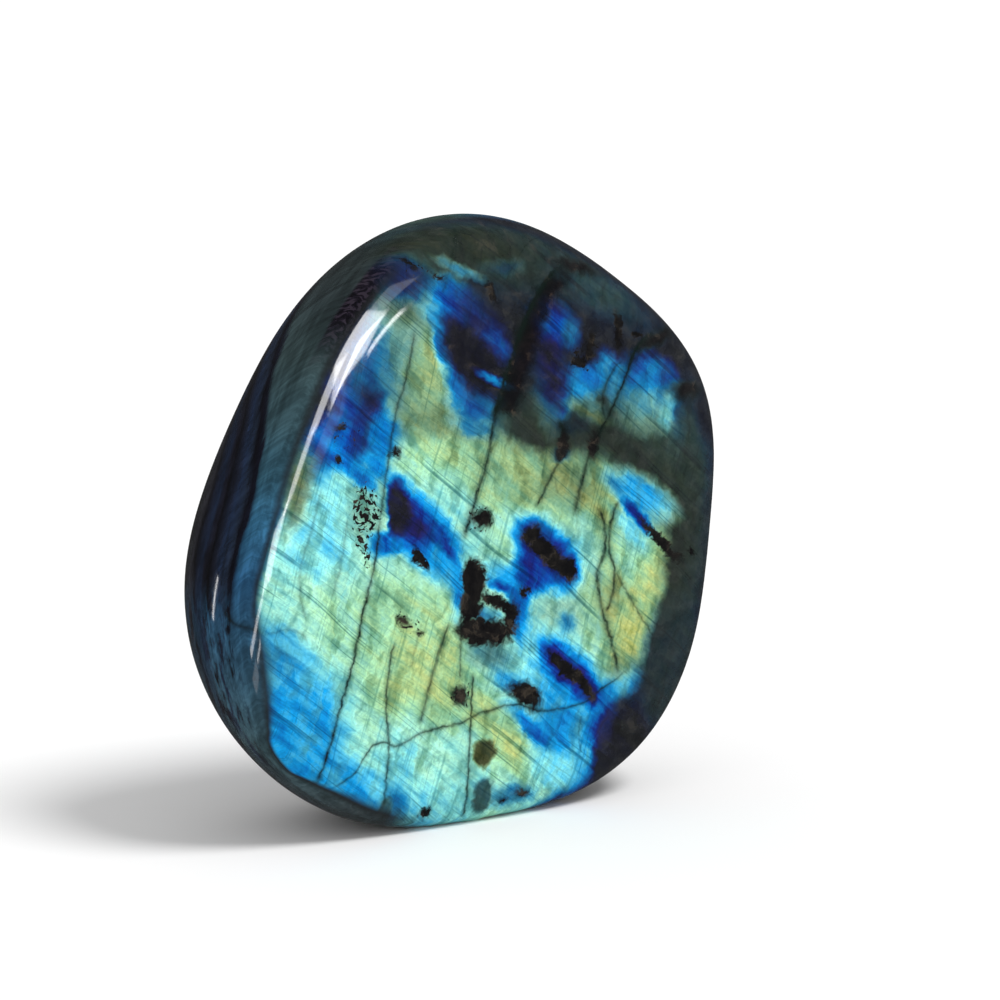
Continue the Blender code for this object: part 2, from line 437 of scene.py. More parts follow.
# Zones of the front face, painted one over the other. Millimetres from the middle
# of the base, right and up. Centre, radii, turn in degrees, softness, flash order,
# strength and, where it isn't 0, warmth.
FLASH_ZONES = (
    # The dim sheen of the top and the right side
    ((-4, 112), (26, 7), -15, 0.8, 0.84, 0.025, 0.3),
    ((27, 101), (12, 4), -30, 0.8, 0.58, 0.05),
    ((6, 77), (22, 5), -15, 0.7, 0.48, 0.06),
    ((36, 68), (13, 7), -15, 0.8, 0.5, 0.13),
    ((38, 20), (14, 15), 0, 0.8, 0.05, 0.06, 0.2),
    ((47, 66), (2.4, 14), 0, 0.9, 0.6, 0.04),
    # The bright body
    ((14, 52), (38, 32), 0, 0.3, 0.8, 0.02, 0.1),
    ((-15.5, 88), (7.5, 17), 15, 0.4, 0.76, 0.4),
    ((-4, 62), (24, 13.5), -15, 0.22, 0.8, 0.86),
    ((16, 47), (22.5, 22), 0, 0.12, 0.8, 0.84),
    ((-24, 38), (28, 37), 0, 0.08, 0.72, 0.94),
    ((0, 30), (25, 32), 0, 0.1, 0.72, 0.94),
    # The left half, from turquoise by the ridge to yellow-green in the middle
    ((-38, 57), (8, 14), -15, 0.8, 0.58, 1),
    ((-33, 43), (11, 8), -30, 0.8, 0.75, 1),
    ((-41, 70), (2.2, 7), -15, 0.8, 0.86, 0.22, 0.6),
    ((-20, 38), (13, 10), -30, 0.9, 0.8, 0.93),
    ((-15, 31), (9, 10), -15, 0.8, 0.88, 0.94, 0.1),
    ((-14, 15), (10, 6), -15, 0.9, 0.68, 0.96),
    # The azure foot on the left, and the base's edge
    ((-46, 23), (13, 19), 15, 0.4, 0.44, 1),
    ((-34, 8), (13, 8), -30, 0.5, 0.44, 1),
    ((-46, 38), (5, 5), 0, 0.9, 0.47, 0.72),
    ((-13, 5), (14, 4.4), 0, 0.8, 0.58, 0.9),
    ((3.5, 5), (5, 2.4), 0, 0.7, 0.46, 0.42, 0.1),
    ((-22, 14), (5, 6), 0, 0.9, 0.6, 1),
    ((-23.4, 6), (2.6, 3), 0, 0.9, 0.44, 0.6),
    # The lower middle and right
    ((-2, 24), (7, 3), 15, 0.8, 0.87, 0.96),
    ((3, 15), (10, 3.2), -45, 0.7, 0.86, 0.92, 0.1),
    ((10, 25), (5, 4), -45, 0.8, 0.47, 1),
    ((3, 28), (4.6, 2.4), -45, 0.8, 0.42, 0.8),
    ((14, 17), (7, 6.5), -30, 0.5, 0.42, 0.85),
    ((8, 17.5), (8.5, 1.5), -45, 0.8, 0.32, 0.9),
    ((14, 8), (7, 3.6), -30, 0.8, 0.54, 1),
    ((20.5, 12), (2.2, 5), 0, 0.8, 0.5, 1),
    ((23.2, 17.5), (2.2, 5), 0, 0.7, 0.3, 0.85),
    ((25.4, 17), (1.8, 5), 0, 0.8, 0.17, 0.25),
    ((4.5, 33), (4.5, 3.6), 0, 0.8, 0.6, 1),
    ((27, 23.5), (5, 2.2), 15, 0.8, 0.46, 0.8),
    ((41.5, 25), (8, 13), 0, 0.35, 0.55, 0.02),
    # The right half, dull green to yellow
    ((15, 40), (8, 5), 15, 0.8, 0.7, 0.58, 0.1),
    ((16, 38), (2, 2.2), 0, 0.9, 0.44, 0.4),
    ((24, 40), (5, 9), 0, 0.9, 0.8, 0.72, 0.1),
    ((31, 34), (3.8, 7), -15, 0.7, 0.93, 0.88),
    ((35.6, 46), (3.2, 7), -15, 0.8, 0.91, 0.88),
    ((28, 44), (1.8, 6), -15, 0.8, 0.86, 0.55, 0.1),
    ((24, 58), (6, 8), 15, 0.9, 0.9, 0.72, 0.2),
    ((20, 53), (3.4, 5), 15, 0.9, 0.6, 0.85),
    ((31, 51), (5, 5), -30, 0.9, 0.74, 0.92),
    ((31, 55), (6, 1.4), -45, 0.8, 0.6, 1),
    ((34.5, 61), (8, 3.2), -30, 0.6, 0.46, 0.95),
    ((27, 64), (3, 1.6), -30, 0.8, 0.42, 0.55),
    # The upper edge of the body
    ((6, 67), (17, 4.4), -15, 0.8, 0.82, 0.7, 0.2),
    ((17, 65), (7, 4.4), -15, 0.8, 0.86, 0.44, 0.3),
    ((-14, 71), (9, 4), -30, 0.9, 0.82, 1),
    ((-10, 65), (8, 2.6), -45, 0.9, 0.65, 1),
    # The upper left
    ((-13, 90), (4.6, 7), 15, 0.8, 0.88, 0.62, 0.1),
    ((-18, 95), (3.6, 5), -15, 0.8, 0.66, 0.36),
    ((-22.5, 87), (2.6, 10), 0, 0.9, 0.52, 0.34),
    ((-22, 80.4), (3, 4.6), 0, 0.8, 0.56, 0.32),
    ((-13, 79.6), (9, 2.4), -15, 0.9, 0.84, 0.4, 0.1),
    ((-16.5, 101.6), (6.4, 3), -15, 0.8, 0.84, 0.12, 0.2),
    ((-13, 103.5), (5, 2), -15, 0.8, 0.74, 0.2, 0.1),
    ((-11.6, 99.4), (3.2, 2.2), -30, 0.9, 0.54, 0.55),
    ((-7.6, 102), (4.6, 3), -45, 0.7, 0.33, 0.95),
    ((-10.4, 93), (1.2, 5), 15, 0.9, 0.46, 0.9),
    ((-7.6, 87), (1.5, 4), 15, 0.9, 0.36, 0.8),
    ((-1, 97), (8, 2.4), -45, 0.9, 0.25, 0.32, 0.1),
    ((2, 92.6), (3.4, 1.8), -45, 0.9, 0.34, 0.75),
    ((-3.6, 81.8), (5.4, 3), -30, 1, 0.32, 0.55),
    ((-4, 77.6), (5, 1.5), -15, 0.8, 0.5, 0.45),
    ((-5, 107.4), (4.2, 1), -30, 0.8, 0.54, 0.42),
    ((4.6, 107.2), (4, 1.4), 0, 1, 0.46, 0.09),
    ((-17, 106), (4.4, 4), 0, 0.9, 0.22, 0.24, 0.2),
    ((-27, 91), (3.6, 7), -15, 0.9, 0.41, 0.4),
    ((-25.6, 83), (2.6, 3.6), 0, 0.6, 0.24, 0.14, 0.4),
    ((-31, 84.6), (4.4, 2.2), -45, 0.8, 0.3, 0.75),
    ((-33, 77.4), (5.4, 4), -45, 0.6, 0.37, 1),
    ((-34, 79.6), (2.4, 2.6), -30, 0.7, 0.31, 0.9),
    ((-23.4, 77.5), (2.6, 4.6), 0, 0.7, 0.36, 1),
    ((-28.4, 77.6), (1.6, 4.4), -15, 0.9, 0.27, 0.62),
    ((-30, 71.5), (8, 1.5), -45, 0.8, 0.38, 1),
    ((-24.6, 71.6), (3.4, 1.5), -45, 0.8, 0.36, 1),
    # The upper right
    ((13.6, 88), (2.8, 9), 0, 0.9, 0.14, 0.3, 0.3),
    ((14.8, 96), (4.2, 3), -30, 0.8, 0.31, 0.9),
    ((19, 94), (1.8, 2.6), 0, 0.9, 0.4, 0.4),
    ((16.4, 80), (1.8, 3.6), 0, 0.9, 0.22, 0.4),
    ((22, 85), (4.4, 2.8), 0, 0.8, 0.34, 0.8),
    ((20, 81.8), (2.6, 1.8), 0, 0.8, 0.47, 0.75),
    ((21, 79.4), (4, 1.4), -15, 0.8, 0.66, 0.3),
    ((23, 77.4), (4.4, 1.2), -15, 0.8, 0.88, 0.18, 0.2),
    ((27, 87.6), (2, 2.4), 0, 0.9, 0.45, 0.6),
    ((29.6, 84.6), (2.3, 4), -15, 0.8, 0.5, 0.55),
    ((36, 75.6), (6, 2.4), -15, 0.9, 0.74, 0.26, 0.1),
    ((36, 79.4), (6, 2.8), -15, 0.9, 0.54, 0.46),
    ((36.5, 84.4), (5.6, 3.4), -15, 0.8, 0.37, 0.68),
    ((41.5, 83), (2, 2.8), 0, 0.9, 0.29, 0.5),
    ((41, 76.6), (1.5, 3.2), -15, 0.8, 0.58, 0.72),
    # The navy wedge in the middle left, and the blue round it
    ((-28, 64), (3.6, 6), 0, 0.8, 0.7, 0.66, 0.3),
    ((-27.6, 69.8), (2.6, 1.8), -30, 0.8, 0.34, 0.85),
    ((-12.6, 51), (5, 2), -30, 0.8, 0.52, 1),
    ((-14.4, 55.4), (8.4, 4.2), -45, 0.4, 0.41, 1),
    ((-14.6, 62), (10.6, 2.5), -45, 0.5, 0.4, 1),
    ((-23.6, 57), (4, 2.6), 0, 0.5, 0.38, 1),
    ((-18.6, 56.6), (4, 2), -15, 0.7, 0.33, 1),
    ((-16, 61.2), (8.6, 2), -45, 0.4, 0.26, 0.9),
    ((-18, 60.4), (4.4, 2.4), -45, 0.7, 0.17, 0.55, 0.2),
    ((-20.8, 63.4), (2.3, 5.2), 0, 0.35, 0.12, 0.25, 0.2),
    ((-9.8, 54.4), (3, 0.8), -60, 0.7, 0.24, 0.8),
    # Blue round the grains in the middle and on the right
    ((5.2, 43), (2.4, 7.5), 0, 0.6, 0.34, 1),
    ((2.6, 48.4), (5, 2.2), -30, 0.8, 0.44, 1),
    ((1.6, 46.2), (3.4, 1), -30, 0.8, 0.3, 0.9),
    ((-8.4, 47.6), (1.6, 5), 0, 0.8, 0.42, 0.9),
    ((11.6, 51.6), (9.4, 5.4), -45, 0.35, 0.38, 1),
    ((8.2, 49), (4.2, 4.4), 0, 0.5, 0.24, 0.9),
    ((12, 51.8), (8.2, 3.8), -45, 0.3, 0.24, 0.8),
    ((16.4, 27.8), (11.4, 5), -45, 0.45, 0.44, 1),
    ((16.8, 27.6), (9.2, 3.1), -45, 0.35, 0.3, 1),
    ((16.8, 27.4), (8.2, 2.2), -45, 0.35, 0.2, 0.8),
    ((33, 57), (5, 1.3), -45, 0.6, 0.26, 0.9),
    ((-2, 41.4), (2.6, 1.3), -15, 0.7, 0.5, 0.6, 0.1),
    # Places with little or no flash
    ((-3, 90.2), (9, 4), -45, 0.5, 0.16, 0.03, 0.5),
    ((1, 86.2), (3.6, 0.8), -30, 0.7, 0.46, 0.9),
    ((-1.5, 33.6), (4.6, 2.4), -15, 0.8, 0.6, 0.3, 0.3),
    ((18.4, 75.8), (4.2, 2), 0, 0.6, 0.5, 0.02, 0.5),
    ((15.4, 70.6), (2.1, 1.3), 0, 0.6, 0.5, 0, 0.4),
    ((46, 80.6), (5, 1.8), 0, 0.8, 0.6, 0, 0.6),
    ((22, 106.4), (6, 1.2), -15, 0.8, 0.6, 0, 0.6),
    ((-3.2, 14.2), (2.8, 2.7), -30, 0.25, 0.92, 0.1, 0.9),
    ((-2.8, 5.6), (2.4, 3.9), 0, 0.25, 0.6, 0.12, 0.4),
    ((-24.8, 5.4), (1.6, 2.6), 0, 0.4, 0.56, 0.16, 0.4),
    ((40, 91.6), (6, 1.4), 15, 0.8, 0.6, 0, 0.7),
)

# The dark fold that runs down from the upper right, as points from the lower end
# (right, up). It starts sharply at its left edge and fades out on the right.
FOLD_EDGE = ((-0.6, 76), (1, 80), (2.8, 85), (5.4, 91), (8.6, 97.5), (12.6, 103),
             (16.5, 106.4), (22, 107.6))
FOLD_SHARP = 0.6
FOLD_WIDE = (3.5, 8)
FOLD_ENDS = 0.12
FLASH_IN_FOLD = 0.08

# Dark grains in the stone: centre, radii, turn and softness.
DARK_GRAINS = (
    ((-4.6, 48), (3, 4.6), 0, 0.2),
    ((-6.6, 43), (1.6, 3.6), 0, 0.3),
    ((-3, 38.4), (6.4, 3), -15, 0.25),
    ((-4.6, 43), (2.2, 1.8), 0, 0.3),
    ((0.4, 43.4), (4.4, 1.3), -30, 0.3),
    ((3, 39.6), (1.8, 4), -15, 0.3),
    ((12.6, 51.2), (7.6, 2.1), -45, 0.25),
    ((8.8, 55.6), (2.4, 1.9), 0, 0.3),
    ((16.8, 47.6), (1.5, 2.6), 0, 0.3),
    ((6.2, 45.2), (1.1, 1), 0, 0.3),
    ((16.9, 27.2), (7.8, 1.3), -45, 0.25),
    ((38.6, 51.6), (7, 1), -45, 0.35),
    ((46.2, 48.4), (1.1, 0.6), -30, 0.4),
    ((-2.6, 60), (2.4, 1.9), -30, 0.5),
    ((-8.6, 26), (2, 2), 0, 0.5),
    ((6, 24.6), (4.4, 2.5), -30, 0.35),
    ((-15.4, 4.2), (1.3, 1.2), 0, 0.5),
    ((1.8, 4), (1.3, 0.7), 0, 0.7),
    ((5.8, 5.2), (1.5, 0.9), -15, 0.7),
    ((-20.6, 42.3), (1.5, 0.8), -15, 0.7),
    ((-17.6, 40), (0.9, 0.6), 0, 0.7),
    ((-16.2, 53.4), (1.1, 3), 30, 0.25),
    ((16.4, 72.8), (1.3, 2.4), -15, 0.6),
    ((23.2, 71.6), (1, 2.4), -15, 0.6),
    ((20.6, 88.2), (2.6, 1.1), 0, 0.35),
    ((23.4, 91), (0.9, 3), -15, 0.35),
    ((29.8, 93.8), (0.8, 3.2), 0, 0.35),
    ((34.2, 93), (1.5, 0.6), -15, 0.35),
    ((-32.8, 73.6), (0.8, 0.9), 0, 0.5),
    ((-32.2, 79.6), (1.4, 0.6), 0, 0.7),
    ((-21, 74), (1, 1), 0, 0.6),
    ((1.4, 102.6), (0.7, 2), 30, 0.6),
    ((-9.8, 106.6), (1.4, 0.5), -30, 0.6),
    ((-15.2, 109), (0.6, 1.5), 45, 0.6),
)

# Clusters of black specks: centre, radii, turn and how full they are.
SPECK_CLUSTERS = (
    ((-27.4, 64), (3.2, 5.4), 0, 1),
    ((-28.6, 57), (1.5, 4.6), 15, 1),
    ((21, 89), (4.4, 3), 0, 0.75),
    ((-13, 107.4), (5, 2.2), -15, 0.55),
    ((-19.6, 41.4), (3.4, 2.2), -30, 0.7),
    ((-2.6, 60), (4, 3), 0, 0.65),
    ((-8.4, 26), (3.4, 3), 0, 0.65),
    ((-31, 78), (4, 4), 0, 0.5),
)

# Cracks that run mostly up and down: points from the lower end (right, up), width,
# darkness.
CRACKS = (
    (((-39, 11), (-36.8, 18), (-34, 27), (-31, 36), (-28.4, 46), (-25.8, 55),
      (-24.6, 63)), 0.4, 1),
    (((-24.8, 61), (-22.4, 73), (-20.6, 81), (-17.6, 89), (-15.6, 97)), 0.34, 0.8),
    (((-25, 6), (-24.4, 12), (-23.9, 20), (-24.4, 26), (-23.6, 33), (-22, 39)), 0.34, 0.9),
    (((-17, 21.5), (-15.6, 27), (-13.6, 33), (-10.4, 41)), 0.5, 0.85),
    (((-6.9, 1), (-6.6, 12), (-6.1, 20), (-5.4, 31)), 0.34, 0.95),
    (((-8.3, 29), (-8, 37), (-7.4, 46)), 0.34, 0.8),
    (((-7, 56), (-4.4, 63), (-1.2, 71), (0.6, 78), (2.4, 85)), 0.6, 1),
    (((0.4, 77), (1.4, 80.6), (3.2, 85.6), (5.8, 91.6), (9.2, 98), (13.4, 103.6), (18, 107)),
     0.8, 1),
    (((9.4, 61), (12.6, 66), (15.8, 72), (15.6, 78)), 0.5, 0.95),
    (((18.2, 58), (20, 64.5), (22.6, 71), (27, 77.5), (31, 84), (34.5, 90), (41, 93.6)),
     0.66, 1),
    (((26.4, 76), (25.6, 80), (27.6, 85), (31, 88)), 0.4, 0.8),
    (((28.2, 25.4), (26.4, 33), (24.2, 40), (23.4, 46), (25.4, 53), (22, 60.5)), 0.6, 0.95),
    (((24.4, 38), (27.4, 46), (26.2, 52), (29.2, 61)), 0.5, 0.95),
    (((27.4, 47), (31.6, 40), (36.6, 32.6)), 0.36, 0.7),
    (((19.2, 11), (18.8, 16), (19.4, 19)), 0.26, 0.5),
    (((-40.6, 44), (-41.6, 52), (-38.8, 61), (-36.4, 69)), 0.3, 0.45),
    (((-35.4, 48), (-33, 55), (-31.4, 63)), 0.34, 0.4),
    (((-19, 33), (-17.2, 39)), 0.3, 0.4),
    (((-9, 103), (-6, 110), (-1.4, 117)), 0.4, 0.45),
    (((6, 106), (11, 111), (16, 113)), 0.3, 0.4),
    (((14.5, 63), (13.8, 68)), 0.3, 0.4),
)

# Cracks that run mostly across: points from the left end (right, up).
CROSS_CRACKS = (
    (((-37, 11), (-32, 13.4), (-28.4, 17.6), (-26, 19.4), (-22.4, 18.4), (-16.6, 20.2),
      (-9, 20.9), (-3, 22.4), (4, 23), (10, 21), (18, 21), (24, 23.4), (31, 27)), 0.36, 0.9),
    (((-54, 44), (-49, 42.6), (-44, 43), (-40, 39.6)), 0.4, 0.45),
    (((-13, 99), (-10.6, 96.4), (-8, 94)), 0.4, 0.6),
)


# Behind the front face the pattern slides sideways and up, so that it doesn't smear
# where the surface runs back. Where that starts at z = 0, how the face leans back with
# height, and how far the pattern has slid at the middle of the back.
FACE_DEPTH = -14.5
FACE_LEAN = 0.052
BACK_SLIDE = (33.0, 33.0, 0.0)

# The front's shader is cut into bands at these heights in the slid pattern, so that a
# place is worked out from the marks near it alone. Noise moves marks by up to this much.
BAND_CUTS = (41.0, 72.0)
MOST_SHAKEN = 3.2

# The stone where there's no flash, and the dark grains, by the mottling, and the cracks.
SLATE_TONES = ((0.30, (26, 28, 29)), (0.50, (35, 37, 38)), (0.72, (46, 49, 49)))
BROWN_TONES = ((0.42, (15, 12, 15)), (0.62, (26, 21, 22)), (0.74, (70, 57, 46)))
GRAIN_TONES = ((0.38, (14, 13, 15)), (0.55, (27, 25, 24)), (0.72, (62, 55, 47)))
CRACK_TONE = (12, 26, 22)
CRACK_ENDS = 0.06

# Specks are where the noise is over these levels. A full cluster lifts the noise.
SPECK_LEVELS = (0.86, 0.94)
CLUSTER_LIFT = 0.40
CLUSTER_SOFTNESS = 0.6

# How far each texture is drawn out: turn, then millimetres along and across.
CLOUDS = (75, 6.0, 3.0)
STREAKS = (-40, 16.0, 2.4)
CLEAVAGE_PANELS = (75, 20.0, 4.5)

# Hatching along the cleavage: turn, spacing, line width, line length and strength.
HATCHES = (
    (-41, 3.4, 0.018, 22.0, 1.0),
    (-36, 1.3, 0.045, 9.0, 0.45),
    (72, 2.6, 0.022, 12.0, 0.6),
)
HATCH_BREAKS = (0.42, 0.62)
DARKEST_HATCH = 0.45

# The polish, a little rougher on cracks and grains.
POLISH_IOR = 1.56
POLISH_ROUGHNESS = (0.05, 0.09)
FLAW_ROUGHNESS = 0.10

# Where the faces meet, by how far the surface faces back or up.
BACK_FACING = (-0.35, 0.10)
RIM_FACING = (0.75, 0.40)
BASE_FACING = -0.96

# The left rim. Height and depth of the edge where the front's flash ends.
RIM_EDGE = ((0, -13.5), (4, -15.5), (8, -15.7), (12, -15), (14, -14.1), (16, -12.8),
            (19.5, -12.5), (24, -13.6), (30, -14.5), (37, -14.6), (43, -14.1),
            (49, -13.5), (60, -13.4), (71, -12.7), (80, -12.2), (90, -11.5),
            (97.5, -11.2), (104, -10.6), (109, -9.5), (117, -5))

# Its colour by height, in millimetres.
RIM_TONES = (
    (6, (48, 56, 58)),
    (20, (56, 78, 84)),
    (30, (54, 84, 100)),
    (42, (48, 88, 116)),
    (52, (42, 86, 122)),
    (63, (46, 94, 124)),
    (71, (50, 88, 106)),
    (80, (50, 74, 82)),
    (92, (50, 66, 68)),
    (103, (42, 51, 53)),
    (113, (33, 39, 38)),
)

# Its dark stripes, by how far behind the edge they lie.
RIM_STRIPES = (
    (4.2, (16, 18, 30)),
    (5.6, (12, 12, 20)),
    (6.6, (26, 34, 48)),
    (8.6, (28, 40, 62)),
    (10.2, (21, 25, 38)),
    (11.4, (9, 9, 15)),
    (12.8, (21, 22, 33)),
    (14.2, (23, 34, 54)),
    (16.0, (19, 25, 40)),
    (17.4, (11, 11, 17)),
    (19.0, (34, 34, 40)),
    (22.0, (26, 28, 30)),
)
RIM_DEEPEST = 24.0
STRIPES_FROM = (3.2, 4.6)
STRIPES_WANDER = 3.6

# Over these heights the stripes move this far towards the edge.
STRIPES_RISE = (66.0, 106.0)
STRIPES_MOVE = 10.0

# How far right it reaches, and the height that its colours are measured by.
RIM_RIGHT = (-12.0, -24.0)
RIM_TOP = 120.0

# The speckled purple band behind its upper edge, the dark line on the edge, and a crack.
PURPLE_TONES = ((0.40, (14, 12, 18)), (0.52, (28, 24, 34)), (0.62, (48, 42, 52)))
PURPLE_DEPTH = (3.3, 2.5)
PURPLE_HEIGHT = (88.0, 100.0)
RIM_LINE_TONE = (34, 36, 38)
RIM_CRACK = ((-1.0, 42.8), (1.2, 43.7), (3.4, 44.2), (6.4, 46.4))
RIM_CRACK_TONE = (18, 26, 26)

# The sawn base.
BASE_TONES = ((0.35, (58, 62, 60)), (0.50, (78, 82, 78)), (0.68, (98, 100, 92)))
SAW_MARK_TONE = (40, 42, 42)
SAW_MARK_STRETCH = (0.12, 2.6, 0.0)
SAW_MARK_DEPTH = 0.1 * MM
SAW_MARK_STRENGTH = 0.3
BASE_ROUGHNESS = 0.6

# The back: dull stone with a few dim patches of flash. Zones as for the front.
BACK_ZONES = (
    ((-6, 70), (44, 42), -15, 0.6, 0.78, 0.05, 0.2),
    ((-22, 74), (15, 22), -30, 0.7, 0.62, 0.2),
    ((-26, 66), (9, 13), -30, 0.8, 0.44, 0.42),
    ((-20, 84), (6, 8), -15, 0.8, 0.34, 0.5),
    ((20, 86), (15, 9), -15, 0.8, 0.4, 0.3),
    ((25, 90), (7, 4), -30, 0.8, 0.6, 0.34),
    ((16, 46), (16, 12), -30, 0.7, 0.36, 0.34),
    ((20, 42), (8, 6), -30, 0.9, 0.56, 0.42),
    ((12, 50), (4, 3), 0, 0.8, 0.8, 0.34),
    ((-24, 30), (13, 8), -45, 0.8, 0.28, 0.34),
    ((-8, 20), (12, 6), -15, 0.8, 0.5, 0.2),
    ((26, 24), (7, 10), 15, 0.8, 0.3, 0.3),
    ((0, 60), (6, 12), -45, 0.6, 0.16, 0.03, 0.8),
    ((4, 100), (16, 6), -15, 0.8, 0.2, 0.1, 0.4),
)
BACK_GRAINS = (
    ((-2, 62), (3.2, 5), -30, 0.3),
    ((2.6, 55), (2, 3.2), -15, 0.3),
    ((-14, 45), (2.4, 1.4), -30, 0.4),
    ((-31, 52), (1.8, 1), -15, 0.4),
    ((26, 68), (3.4, 1.1), -45, 0.35),
    ((32, 60), (1.6, 0.8), -30, 0.4),
    ((10, 29), (2.6, 1.6), -15, 0.3),
    ((-16, 98), (2.2, 1), -30, 0.5),
    ((12, 78), (1.4, 2), 0, 0.5),
)
BACK_SPECKS = (
    ((-1, 58), (6, 9), -15, 0.9),
    ((26, 68), (6, 4), -45, 0.7),
    ((-14, 96), (6, 3), -15, 0.7),
    ((8, 28), (6, 4), 0, 0.6),
)
BACK_CRACKS = (
    (((-34, 14), (-30, 30), (-24, 48), (-20, 66), (-13, 84), (-9, 104)), 0.4, 0.8),
    (((-8, 6), (-6, 22), (-1, 38), (0, 52)), 0.34, 0.7),
    (((14, 20), (15, 36), (20, 52), (21, 66), (27, 82)), 0.42, 0.8),
    (((33, 18), (35, 34), (40, 48), (40, 60)), 0.3, 0.6),
    (((4, 66), (8, 80), (9, 94), (14, 108)), 0.36, 0.7),
    (((-44, 40), (-41, 54), (-39, 70)), 0.3, 0.5),
)
BACK_CROSS_CRACKS = (
    (((-40, 36), (-26, 33), (-12, 37), (4, 34), (22, 39), (40, 36)), 0.34, 0.6),
    (((-6, 78), (8, 74), (22, 77), (36, 72)), 0.3, 0.5),
)


def from_curve(graph, along, across, points):
    """How far along a smooth curve a place is, of 1, and how far to its side."""
    first, last = points[0][0], points[-1][0]
    sides = [side for _, side in points]
    low = min(sides) - 1.0
    span = max(sides) + 1.0 - low
    stops = [((place - first) / (last - first), (side - low) / span)
             for place, side in points]
    share = graph.line(along, first, last)
    side = graph.curve(share, stops)
    offset = graph.math("MULTIPLY_ADD", side, -span, across)
    return share, graph.math("SUBTRACT", offset, low)


def bent_line(graph, along, across, points, width, darkness):
    """A dark line with a soft halo along a smooth curve, thinning out at its ends."""
    share, offset = from_curve(graph, along, across, points)
    spread = graph.product(offset, offset)
    spread = graph.math("MULTIPLY_ADD", spread, 1.0 / width ** 2, 1.0)
    taper = graph.line(graph.math("PINGPONG", share, 0.5), 0.0, CRACK_ENDS, 0.0, darkness)
    return graph.math("DIVIDE", taper, spread)


def near(band, middle, reach):
    """True if a mark may reach into a band of heights."""
    reach += MOST_SHAKEN
    return band[0] - reach < middle < band[1] + reach


def ellipses_near(band, ellipses):
    """The ellipses that reach into a band: centre, radii, turn and softness come first."""
    kept = []
    for ellipse in ellipses:
        centre, radii, turn, softness = ellipse[:4]
        angle = math.radians(turn)
        reach = math.hypot(radii[0] * math.sin(angle), radii[1] * math.cos(angle))
        if near(band, centre[1], reach * (1.0 + softness)):
            kept.append(ellipse)
    return kept


def cracks(graph, sheet, pattern, band):
    """How dark the cracks are at each place of a face."""
    right, up, _ = graph.parts(sheet.at(0))
    total = 0.0
    for name in ("cracks", "cross_cracks"):
        for points, width, darkness in pattern[name]:
            heights = [z for _, z in points]
            middle = 0.5 * (min(heights) + max(heights))
            if not near(band, middle, max(heights) - middle):
                continue
            if name == "cracks":
                swapped = [(z, x) for x, z in points]
                mark = bent_line(graph, up, right, swapped, width, darkness)
            else:
                mark = bent_line(graph, right, up, points, width, darkness)
            total = graph.math("MAXIMUM", total, mark)
    return total


def hatching(graph, sheet, turn, spacing, width, length):
    """Fine broken parallel lines, at uneven distances."""
    across = graph.product(sheet.across(turn), 1.0 / spacing)
    wave = graph.noise(across, 1.0, 1.0, 0.6, kind="1D")["Fac"]
    ridge = graph.math("ABSOLUTE", graph.math("SUBTRACT", wave, 0.5))
    line = graph.step(ridge, width, 0.0)
    breaks = graph.noise(sheet.stretched(turn, length, spacing), 1.0, 1.0)["Fac"]
    return graph.product(line, graph.step(breaks, *HATCH_BREAKS))


def flash_field(graph, sheet, zones, start):
    """The flash's order, strength and warmth over a face, as one vector."""
    field = start
    for centre, radii, turn, softness, *flash in zones:
        share = sheet.cover(centre, radii, turn, softness)
        field = graph.mix("VECTOR", share, field, (*flash, 0.0)[:3])
    return field


def dark_fold(graph, sheet):
    """1 just right of the fold's edge, fading to 0 further right."""
    right, up, _ = graph.parts(sheet.at(0))
    points = [(z, x) for x, z in FOLD_EDGE]
    share, offset = from_curve(graph, up, right, points)
    starts = graph.step(offset, -FOLD_SHARP, FOLD_SHARP)
    fades = graph.step(offset, FOLD_WIDE[1], FOLD_WIDE[0])
    ends = graph.line(graph.math("PINGPONG", share, 0.5), 0.0, FOLD_ENDS)
    return graph.product(starts, fades, ends)


def dark_grains(graph, ragged, grains):
    """1 in the dark grains of a face."""
    total = 0.0
    for centre, radii, turn, softness in grains:
        total = graph.math("MAXIMUM", total, ragged.cover(centre, radii, turn, softness))
    return total


def black_specks(graph, sheet, clusters, grit):
    """Small black specks in clusters."""
    total = 0.0
    for centre, radii, turn, fullness in clusters:
        share = sheet.cover(centre, radii, turn, CLUSTER_SOFTNESS)
        total = graph.math("MAXIMUM", total, graph.product(share, fullness))
    level = graph.math("MULTIPLY_ADD", total, CLUSTER_LIFT, grit)
    return graph.step(level, *SPECK_LEVELS)


FRONT = {
    "zones": FLASH_ZONES,
    "start": (0.20, 0.02, 0.15),
    "grains": DARK_GRAINS,
    "specks": SPECK_CLUSTERS,
    "cracks": CRACKS,
    "cross_cracks": CROSS_CRACKS,
    "folded": True,
    "slide": (0.0, 0.0, 0.0),
}
BACK = {
    "zones": BACK_ZONES,
    "start": (0.25, 0.02, 0.2),
    "grains": BACK_GRAINS,
    "specks": BACK_SPECKS,
    "cracks": BACK_CRACKS,
    "cross_cracks": BACK_CROSS_CRACKS,
    "folded": False,
    "slide": BACK_SLIDE,
}
WHOLE = (-20.0, 140.0)


